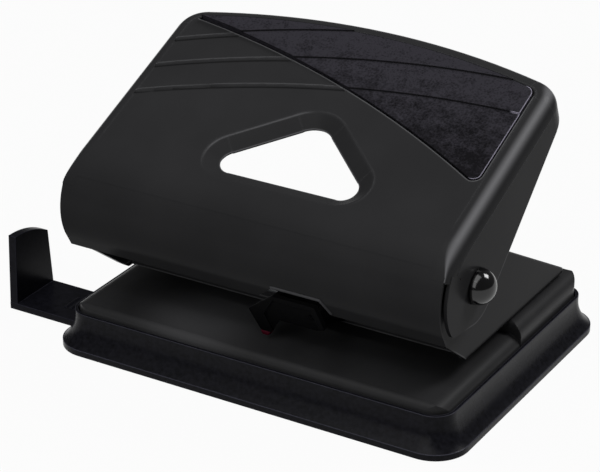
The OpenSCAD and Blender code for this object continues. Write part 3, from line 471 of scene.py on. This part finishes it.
def moulded_rubber(name, colour, node):
    """Rubber pad, moulded with a fine leather grain."""
    # Rubber is duller than the coat round it, with a speckle of tiny pits and a little sheen.
    # Its rear is paler, its right rim carries a painted highlight as a pale line,
    # and painted shade darkens its other rims and the edges of its steps.
    # The pits are about 0.3 mm on the real pad and are drawn at 0.7 mm so that they show.
    low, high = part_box(node)
    material, tree = new_material(name)
    place = add(tree, "ShaderNodeTexCoord")
    axes = add(tree, "ShaderNodeSeparateXYZ", links={"Vector": (place, "Object")})
    pits = add(tree, "ShaderNodeTexVoronoi", {"Scale": per_mm(0.7)}, {"Vector": (place, "Object")})
    bloom = add(tree, "ShaderNodeTexNoise", {"Scale": per_mm(4), "Detail": 5, "Roughness": 0.85},
                {"Vector": (place, "Object")})
    rear = add(tree, "ShaderNodeMapRange", {**between(low.y, high.y), "To Min": -0.25, "To Max": 0.15},
               {"Value": (axes, "Y")})
    rearward_bloom = add(tree, "ShaderNodeMath", links={0: (bloom, "Fac"), 1: (rear, "Result")},
                 operation="ADD")
    speck = add(tree, "ShaderNodeMath", {2: -0.1}, {0: (pits, "Distance"), 1: (rearward_bloom, "Value")},
                operation="MULTIPLY_ADD")
    fleck = add(tree, "ShaderNodeMath", links={0: (rearward_bloom, "Value"), 1: (speck, "Value")},
                operation="ADD")
    tint = add(tree, "ShaderNodeValToRGB", links={"Fac": (fleck, "Value")},
               stops=((0.3, shade(colour, 0.4)), (0.8, shade(colour, 2.2))))
    # Painted highlight on the right rim, and painted shade on the other rims and the step edges.
    right = add(tree, "ShaderNodeMapRange", between(*(high.x - inset for inset in PAD_RIM_INSET)),
                {"Value": (axes, "X")})
    rim = add(tree, "ShaderNodeMix", {"A": shade(colour, 0.3), "B": shade(colour, 24)},
              {"Factor": (right, "Result")}, data_type="RGBA")
    edge, turn = edge_turn(tree, 0.5 * MM)
    line = add(tree, "ShaderNodeMapRange", between(*MOULDED_EDGE_COS), {"Value": (turn, "Value")})
    tint_with_painted_light = add(tree, "ShaderNodeMix", data_type="RGBA",
               links={"Factor": (line, "Result"), "A": (tint, "Color"), "B": (rim, "Result")})
    bump = add(tree, "ShaderNodeBump", {"Strength": 0.35, "Distance": 0.1 * MM},
               {"Height": (pits, "Distance"), "Normal": (edge, "Normal")})
    skin = add(tree, "ShaderNodeBsdfPrincipled",
               {"IOR": 1.52, "Specular IOR Level": 0.05, "Roughness": 0.5},
               {"Base Color": (tint_with_painted_light, "Result"), "Normal": (bump, "Normal")})
    add(tree, "ShaderNodeOutputMaterial", links={"Surface": (skin, "BSDF")})
    return material


def bright_steel(name, colour, rough, stretch):
    """Steel with a metallic surface, drawn, plated or ground along one way."""
    # Rolling and grinding leave fine lines that smear the highlight, and plating adds
    # pale and darker patches.
    # The lines are some hundredths of a millimetre wide and are drawn at 0.5 mm so that they show.
    material, tree = new_material(name)
    place = add(tree, "ShaderNodeTexCoord")
    along = add(tree, "ShaderNodeMapping", {"Scale": stretch}, {"Vector": (place, "Object")})
    lines = add(tree, "ShaderNodeTexNoise", {"Scale": per_mm(0.5), "Detail": 3},
                {"Vector": (along, "Vector")})
    patch = add(tree, "ShaderNodeTexNoise", {"Scale": per_mm(4), "Detail": 2},
                {"Vector": (place, "Object")})
    tint = add(tree, "ShaderNodeValToRGB", links={"Fac": (patch, "Fac")},
               stops=((0, shade(colour, 0.8)), (1, shade(colour, 1.1))))
    dull = add(tree, "ShaderNodeMapRange", {"To Min": rough[0], "To Max": rough[1]},
               {"Value": (lines, "Fac")})
    bump = add(tree, "ShaderNodeBump", {"Strength": 0.1, "Distance": 0.02 * MM},
               {"Height": (lines, "Fac")})
    skin = add(tree, "ShaderNodeBsdfPrincipled", {"Metallic": 1.0},
               {"Base Color": (tint, "Color"), "Roughness": (dull, "Result"),
                "Normal": (bump, "Normal")})
    add(tree, "ShaderNodeOutputMaterial", links={"Surface": (skin, "BSDF")})
    return material


def dress(material, *nodes):
    """Gives CAD nodes their finish."""
    for name in nodes:
        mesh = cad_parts[name].data
        mesh.materials.clear()
        mesh.materials.append(material)


def finish_of(node):
    """The finish that a CAD node has been given."""
    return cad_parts[node].data.materials[0]


def add_piece(name, form, material, body):
    """Links a finished mesh as a piece that rides on a body."""
    bmesh.ops.recalc_face_normals(form, faces=form.faces)
    mesh = bpy.data.meshes.new(name)
    form.to_mesh(mesh)
    form.free()
    mesh.materials.append(material)
    for face in mesh.polygons:
        face.use_smooth = True
    mesh.set_sharp_from_angle(angle=SHARP_FROM)
    piece = bpy.data.objects.new(name, mesh)
    bpy.context.scene.collection.objects.link(piece)
    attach(piece, body)
    return piece


def skin_rings(form, rings):
    """Joins rings of points with quads and closes both ends."""
    made = [[form.verts.new(point) for point in ring] for ring in rings]
    for ring, after in zip(made, made[1:]):
        for i in range(len(ring)):
            j = (i + 1) % len(ring)
            form.faces.new((ring[i], ring[j], after[j], after[i]))
    form.faces.new(made[0])
    form.faces.new(reversed(made[-1]))


def circle(sides):
    """Turns of the points of a circle."""
    return [2 * math.pi * k / sides for k in range(sides)]


def bead_rings(path, radius):
    """Rings of a round bead along a path, with two smaller rings beyond each end."""
    last = len(path) - 1
    rings = []
    for i, point in enumerate(path):
        along = (path[min(i + 1, last)] - path[max(i - 1, 0)]).normalized()
        out = along.cross(Vector((0, 1, 0))).normalized()
        up = out.cross(along)
        spokes = [out * math.cos(t) + up * math.sin(t) for t in circle(BEAD_SIDES)]
        steps = [(0, 1)]
        if i == 0:
            steps = [(-math.cos(a), math.sin(a)) for a in BEAD_END_TURNS] + steps
        if i == last:
            steps += [(math.cos(a), math.sin(a)) for a in reversed(BEAD_END_TURNS)]
        for ahead, wide in steps:
            rings.append([point + (along * ahead + spoke * wide) * radius for spoke in spokes])
    return rings


def front_point(node, x, z):
    """Point of a node's front surface at a place across and up."""
    hit, point, *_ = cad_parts[node].ray_cast(Vector((x, -1, z)), Vector((0, 1, 0)))
    if not hit:
        raise RuntimeError(f"{node} has no front surface at {x}, {z}")
    return point


def section_box(node, z):
    """Lowest and highest corners of a node's section at a height."""
    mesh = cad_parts[node].data
    points = []
    for edge in mesh.edges:
        a, b = (mesh.vertices[i].co for i in edge.vertices)
        if (a.z - z) * (b.z - z) < 0:
            points.append(a.lerp(b, (z - a.z) / (b.z - a.z)))
    if not points:
        raise RuntimeError(f"{node} has no section at {z}")
    return tuple(Vector(pick(p[i] for p in points) for i in range(3)) for pick in (min, max))


class PUNCH_OT_handle(bpy.types.Operator):
    """Powder coat on the pressed handle and the frame."""

    bl_idname = "punch.handle"
    bl_label = "Handle and Frame"

    def execute(self, context):
        colour = context.scene.punch_colours.powder
        slope = context.scene.punch_details.face_slope
        dress(powder_coated_steel("powder_coated_pressed_steel", colour, slope), "handle", "frame")
        return {"FINISHED"}


class PUNCH_OT_fold_ends(bpy.types.Operator):
    """Ends of the handle's folds, which run out into the skirt."""

    bl_idname = "punch.fold_ends"
    bl_label = "Fold Ends"

    def execute(self, context):
        size = context.scene.punch_details
        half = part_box("handle")[1].x - FOLD_INSET
        wide, drop = size.fold_wide, size.fold_drop
        quarter = [math.pi / 2 * k / FOLD_ROUND_STEPS for k in range(FOLD_ROUND_STEPS + 1)]
        # The last station lies a wall deeper, so that the end is tucked into the skirt.
        stations = [(k / FOLD_STEPS, 0) for k in range(FOLD_STEPS + 1)] + [(FOLD_TUCK, size.wall)]
        for side, name in ((-1, "left_fold_end"), (1, "right_fold_end")):
            rings = []
            for part, deep in stations:
                turn = size.face_slope + size.run_from + (size.run_to - size.run_from) * part
                ease = min(part, 1) ** 2 * (3 - 2 * min(part, 1))
                width = wide + (size.fold_narrow - wide) * ease
                ring = []
                for sink, step in ((0, 1), (size.wall, -1)):
                    across = [width - (width - sink) * math.sin(a) for a in quarter]
                    down = [drop - (drop - sink) * math.cos(a) for a in quarter]
                    edge = list(zip([wide, *across, sink], [sink, *down, drop + size.tail]))
                    ring += edge[::step]
                away = Vector((0, -math.sin(turn), math.cos(turn)))
                rings.append([
                    Vector((side * (half - x - deep), *size.bulge_at[1:]))
                    + away * (size.bulge_r - d - deep)
                    for x, d in ring])
            form = bmesh.new()
            skin_rings(form, rings)
            add_piece(name, form, finish_of("handle"), "lever")
        return {"FINISHED"}


class PUNCH_OT_notch_lip(bpy.types.Operator):
    """Rolled lip on the edge of the skirt's notch."""

    bl_idname = "punch.notch_lip"
    bl_label = "Notch Lip"

    def execute(self, context):
        size = context.scene.punch_details
        drop = size.lip_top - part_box("handle")[0].z - 2 * size.lip
        path = []
        for k in range(LIP_STEPS_ACROSS + 1):
            x = size.lip_left + (size.lip_right - size.lip_left) * k / LIP_STEPS_ACROSS
            path.append(front_point("handle", x, size.lip_top + size.lip))
        for k in range(1, LIP_STEPS_DOWN + 1):
            down = drop * k / LIP_STEPS_DOWN
            x = size.lip_right + size.lip_spread * down + size.lip
            path.append(front_point("handle", x, size.lip_top - down))
        form = bmesh.new()
        skin_rings(form, bead_rings(path, size.lip))
        colour = context.scene.punch_colours.painted_light
        # The lip's coat is paler than the handle's: a painted highlight along the notch's edge.
        coat = powder_coated_steel("painted_highlight_on_notch_lip", colour, size.face_slope)
        add_piece("notch_lip", form, coat, "lever")
        return {"FINISHED"}


class PUNCH_OT_pad(bpy.types.Operator):
    """Rubber grip pad in its seat."""

    bl_idname = "punch.pad"
    bl_label = "Grip Pad"

    def execute(self, context):
        colour = context.scene.punch_colours.rubber
        dress(moulded_rubber("moulded_nitrile_rubber", colour, "grip_pad"), "grip_pad")
        return {"FINISHED"}


class PUNCH_OT_base(bpy.types.Operator):
    """Enamel on the base plate and plastic of the chip tray."""

    bl_idname = "punch.base"
    bl_label = "Base and Tray"

    def execute(self, context):
        colours = context.scene.punch_colours
        enamel = stoved_enamel("stoved_enamel_on_pressed_steel", colours.enamel)
        dress(enamel, "base_plate")
        # Polypropylene is a little waxy, so the tray has a low gloss and a speckle. Its pale edges are a
        # painted highlight.
        tray = moulded_plastic(
            "moulded_polypropylene", colours.tray,
            rough=(0.22, 0.34), level=0.07, grain=1.2, speck=0.4, rim=7)
        dress(tray, "chip_tray")
        return {"FINISHED"}


class PUNCH_OT_guides(bpy.types.Operator):
    """Plastic of the paper guide and the centre guide."""

    bl_idname = "punch.guides"
    bl_label = "Guides"

    def execute(self, context):
        colours = context.scene.punch_colours
        # ABS takes a satin mould's surface evenly, so the guide is smooth. Its thin pale edges are a
        # painted highlight.
        satin = moulded_plastic(
            "moulded_abs", colours.guide,
            rough=(0.25, 0.36), level=0.05, grain=1.2, speck=0.3, rim=4)
        dress(satin, "paper_guide")
        # The same plastic from a blasted mould is matt, so the pointer reads as plain black. Its colour
        # is darkened further as painted shade for the shaded hollow between its legs.
        matt = moulded_plastic(
            "matt_moulded_abs", colours.pointer,
            rough=(0.4, 0.5), level=0.02, grain=1.2, speck=0.3, rim=3)
        dress(matt, "centre_guide")
        return {"FINISHED"}


class PUNCH_OT_pointer_tip(bpy.types.Operator):
    """Red lacquer on the tip of the centre guide's pointed leg."""

    bl_idname = "punch.pointer_tip"
    bl_label = "Pointer Tip"

    def execute(self, context):
        size = context.scene.punch_details
        start = size.coat / 2
        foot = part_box("centre_guide")[0].z + start
        rings = []
        for k in range(TIP_STEPS + 1):
            z = foot + (size.tip - start) * k / TIP_STEPS
            low, high = section_box("centre_guide", z)
            # The uppermost ring lies just inside the leg, so that the coat ends on it.
            out = size.coat if k < TIP_STEPS else -size.coat / 2
            left, right = low.x - out, high.x + out
            front, rear = low.y - out, high.y + out
            corners = ((left, front), (right, front), (right, rear), (left, rear))
            rings.append([Vector((x, y, z)) for x, y in corners])
        rings.insert(0, [point - Vector((0, 0, size.coat)) for point in rings[0]])
        form = bmesh.new()
        skin_rings(form, rings)
        # Dipped lacquer is a thin even skin, and the plastic's fine grain shows through it.
        lacquer = moulded_plastic(
            "red_dipped_lacquer", context.scene.punch_colours.red,
            rough=(0.3, 0.4), level=0.1, grain=0.8, speck=0.15, rim=1)
        add_piece("pointer_tip", form, lacquer, "base")
        return {"FINISHED"}


class PUNCH_OT_guide_ridges(bpy.types.Operator):
    """Raised ridges on the paper guide, beside the tray."""

    bl_idname = "punch.guide_ridges"
    bl_label = "Guide Ridges"

    def execute(self, context):
        size = context.scene.punch_details
        length, width, height = size.ridge
        low, high = section_box("paper_guide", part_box("paper_guide")[0].z + GUIDE_SECTION_AT)
        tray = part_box("chip_tray")[0].x
        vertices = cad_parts["paper_guide"].data.vertices
        top = max(vertex.co.z for vertex in vertices if vertex.co.x > tray)
        form = bmesh.new()
        for k in range(size.ridge_count):
            middle = Vector((tray - (k + 1) * size.ridge_pitch, (low.y + high.y) / 2, top))
            rings = []
            for rise, shrink in RIDGE_RINGS:
                x = length / 2 * shrink
                y = width / 2 - height * (1 - shrink)
                corners = ((-x, -y), (x, -y), (x, y), (-x, y))
                rings.append([middle + Vector((a, b, height * rise)) for a, b in corners])
            skin_rings(form, rings)
        add_piece("guide_ridges", form, finish_of("paper_guide"), "guide")
        return {"FINISHED"}


class PUNCH_OT_pivot(bpy.types.Operator):
    """Caps, washers and cross pin."""

    bl_idname = "punch.pivot"
    bl_label = "Pivot"

    def execute(self, context):
        colours = context.scene.punch_colours
        # Polyethylene from a polished mould is glossy, so a cap shows a small sharp highlight.
        cap = moulded_plastic(
            "gloss_moulded_polyethylene", colours.cap,
            rough=(0.10, 0.16), level=0.5, grain=2.0, speck=0.1, rim=1.5)
        dress(cap, "left_pivot_cap", "right_pivot_cap")
        # Acetal is hard and matt, so the washers show little more than a soft sheen.
        spacer = moulded_plastic(
            "moulded_acetal", colours.spacer,
            rough=(0.45, 0.55), level=0.3, grain=0.6, speck=0.12, rim=1.5)
        dress(spacer, "left_pivot_washer", "right_pivot_washer")
        # Drawing leaves lines along the rod, below the thin zinc.
        rod = bright_steel("zinc_plated_rod", colours.zinc, rough=(0.3, 0.4), stretch=(0.1, 1, 1))
        dress(rod, "pivot_pin")
        return {"FINISHED"}


class PUNCH_OT_works(bpy.types.Operator):
    """Steel of the punching works inside."""

    bl_idname = "punch.works"
    bl_label = "Punching Works"

    def execute(self, context):
        colours = context.scene.punch_colours
        # Rolled sheet has its lines along the width, below the thin zinc.
        sheet = bright_steel("zinc_plated_sheet", colours.zinc, rough=(0.3, 0.45), stretch=(0.15, 1, 1))
        dress(sheet, "punch_bridge", "frame_rivets", "bridge_rivets", "left_presser", "right_presser",
              "left_clip", "right_clip")
        # The pins are ground along their length, which makes them the brightest steel here.
        ground = bright_steel("ground_tool_steel", colours.tool, rough=(0.18, 0.3), stretch=(1, 1, 0.15))
        dress(ground, "left_punch", "right_punch")
        return {"FINISHED"}


class PUNCH_OT_springs(bpy.types.Operator):
    """Return springs round the punch pins, built at rest, though the real ones close up as the pins go
    down.
    """

    bl_idname = "punch.springs"
    bl_label = "Return Springs"

    def execute(self, context):
        size = context.scene.punch_details
        colour = context.scene.punch_colours.zinc
        # Drawn wire turns all ways in a coil, so its lines have no one way.
        steel = bright_steel("drawn_spring_wire", colour, rough=(0.3, 0.42), stretch=(1, 1, 1))
        up = Vector((0, 0, 1))
        steps = COIL_STEPS * size.coils
        for side in ("left", "right"):
            low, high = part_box(f"{side}_spring")
            pin = sum(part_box(f"{side}_punch"), Vector()) / 2
            reach = high.x - pin.x - size.wire
            climb = high.z - low.z - 2 * size.wire
            rings = []
            for k in range(steps + 1):
                rise = min(max((k / steps - size.closed) / (1 - 2 * size.closed), 0), 1)
                turn = 2 * math.pi * k / COIL_STEPS
                out = Vector((math.cos(turn), math.sin(turn), 0))
                middle = Vector((pin.x, pin.y, low.z + size.wire + climb * rise)) + out * reach
                rings.append([
                    middle + (out * math.cos(a) + up * math.sin(a)) * size.wire
                    for a in circle(WIRE_SIDES)])
            form = bmesh.new()
            skin_rings(form, rings)
            coil = add_piece(f"{side}_coil", form, steel, "base")
            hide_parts(f"{side}_spring")
            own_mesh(coil)
        return {"FINISHED"}


def paper_backdrop(colour):
    """White background paper that keeps the shadow of what stands on it."""
    # Matt paper, lifted for the camera and for reflections, so that it reads as white
    # and the shadow stays soft.
    material, tree = new_material("white_background_paper")
    path = add(tree, "ShaderNodeLightPath")
    seen = add(tree, "ShaderNodeMath", links={0: (path, "Is Camera Ray"), 1: (path, "Is Glossy Ray")},
               operation="MAXIMUM")
    through = add(tree, "ShaderNodeMath", links={0: (seen, "Value"), 1: (path, "Is Transmission Ray")},
                  operation="MAXIMUM")
    lift = add(tree, "ShaderNodeMath", {1: PAPER_LIFT}, {0: (through, "Value")}, operation="MULTIPLY")
    matt = add(tree, "ShaderNodeBsdfDiffuse", {"Color": shade(colour, PAPER_GREY)})
    glow = add(tree, "ShaderNodeEmission", {"Color": (*colour, 1), "Strength": 1.0})
    mix = add(tree, "ShaderNodeMixShader",
              links={"Fac": (lift, "Value"), 1: (matt, "BSDF"), 2: (glow, "Emission")})
    add(tree, "ShaderNodeOutputMaterial", links={"Surface": (mix, "Shader")})
    return material


def studio_floor(colour):
    """Lays the floor."""
    mesh = bpy.data.meshes.new("studio_floor")
    form = bmesh.new()
    bmesh.ops.create_grid(form, x_segments=FLOOR_STEPS, y_segments=FLOOR_STEPS, size=FLOOR_REACH)
    form.to_mesh(mesh)
    form.free()
    mesh.materials.append(paper_backdrop(colour))
    floor = bpy.data.objects.new("studio_floor", mesh)
    bpy.context.scene.collection.objects.link(floor)


def studio_sky():
    """Fills the world with an even weak light."""
    world = bpy.data.worlds.new("studio")
    bpy.context.scene.world = world
    world.use_nodes = True
    world.node_tree.nodes.clear()
    sky = add(world.node_tree, "ShaderNodeBackground", {"Color": WHITE, "Strength": SKY_STRENGTH})
    add(world.node_tree, "ShaderNodeOutputWorld", links={"Surface": (sky, "Background")})


def studio_lamp(name, place, width, power):
    """Adds a soft square lamp that faces the punch."""
    data = bpy.data.lights.new(name, "AREA")
    data.shape = "SQUARE"
    data.size = width
    data.energy = power
    lamp = bpy.data.objects.new(name, data)
    lamp.location = place
    lamp.rotation_euler = (Vector(LAMP_TARGET) - Vector(place)).to_track_quat("-Z", "Y").to_euler()
    bpy.context.scene.collection.objects.link(lamp)


def studio_camera(view):
    """Adds the camera at the photograph's viewing angle."""
    data = bpy.data.cameras.new("camera")
    data.sensor_fit = "HORIZONTAL"
    data.sensor_width = SENSOR_WIDTH
    data.lens = view.lens
    data.clip_end = VIEW_REACH
    camera = bpy.data.objects.new("camera", data)
    camera.location = view.place
    camera.rotation_euler = (math.pi / 2 - view.elevation, 0, view.azimuth)
    bpy.context.scene.collection.objects.link(camera)
    bpy.context.scene.camera = camera


class PUNCH_OT_stage(bpy.types.Operator):
    """Pale floor, soft studio light and the camera."""

    bl_idname = "punch.stage"
    bl_label = "Stage"

    def execute(self, context):
        context.scene.view_settings.view_transform = "Standard"
        studio_floor(context.scene.punch_view.floor)
        studio_sky()
        for lamp in LAMPS:
            studio_lamp(*lamp)
        studio_camera(context.scene.punch_view)
        return {"FINISHED"}


class PUNCH_PT_panel(bpy.types.Panel):
    """Lists the steps that dress the punch."""

    bl_idname = "PUNCH_PT_panel"
    bl_label = "Two-Hole Punch"
    bl_space_type = "VIEW_3D"
    bl_region_type = "UI"
    bl_category = "Punch"

    def draw(self, context):
        scene = context.scene
        for step in STEPS:
            self.layout.operator(step.bl_idname)
        for group in (scene.punch_colours, scene.punch_details, scene.punch_view):
            for name in group.__annotations__:
                self.layout.prop(group, name)


STEPS = (
    PUNCH_OT_handle,
    PUNCH_OT_fold_ends,
    PUNCH_OT_notch_lip,
    PUNCH_OT_pad,
    PUNCH_OT_base,
    PUNCH_OT_guides,
    PUNCH_OT_pointer_tip,
    PUNCH_OT_guide_ridges,
    PUNCH_OT_pivot,
    PUNCH_OT_works,
    PUNCH_OT_springs,
    PUNCH_OT_stage,
)
CLASSES = (PunchColours, PunchDetails, PunchView, *STEPS, PUNCH_PT_panel)


def register():
    for entry in CLASSES:
        bpy.utils.register_class(entry)
    bpy.types.Scene.punch_colours = bpy.props.PointerProperty(type=PunchColours)
    bpy.types.Scene.punch_details = bpy.props.PointerProperty(type=PunchDetails)
    bpy.types.Scene.punch_view = bpy.props.PointerProperty(type=PunchView)


def unregister():
    del bpy.types.Scene.punch_view
    del bpy.types.Scene.punch_details
    del bpy.types.Scene.punch_colours
    for entry in reversed(CLASSES):
        bpy.utils.unregister_class(entry)


def main():
    register()
    bpy.ops.punch.handle()
    bpy.ops.punch.fold_ends()
    bpy.ops.punch.notch_lip()
    bpy.ops.punch.pad()
    bpy.ops.punch.base()
    bpy.ops.punch.guides()
    bpy.ops.punch.pointer_tip()
    bpy.ops.punch.guide_ridges()
    bpy.ops.punch.pivot()
    bpy.ops.punch.works()
    bpy.ops.punch.springs()
    bpy.ops.punch.stage()


if __name__ == "__main__":
    main()
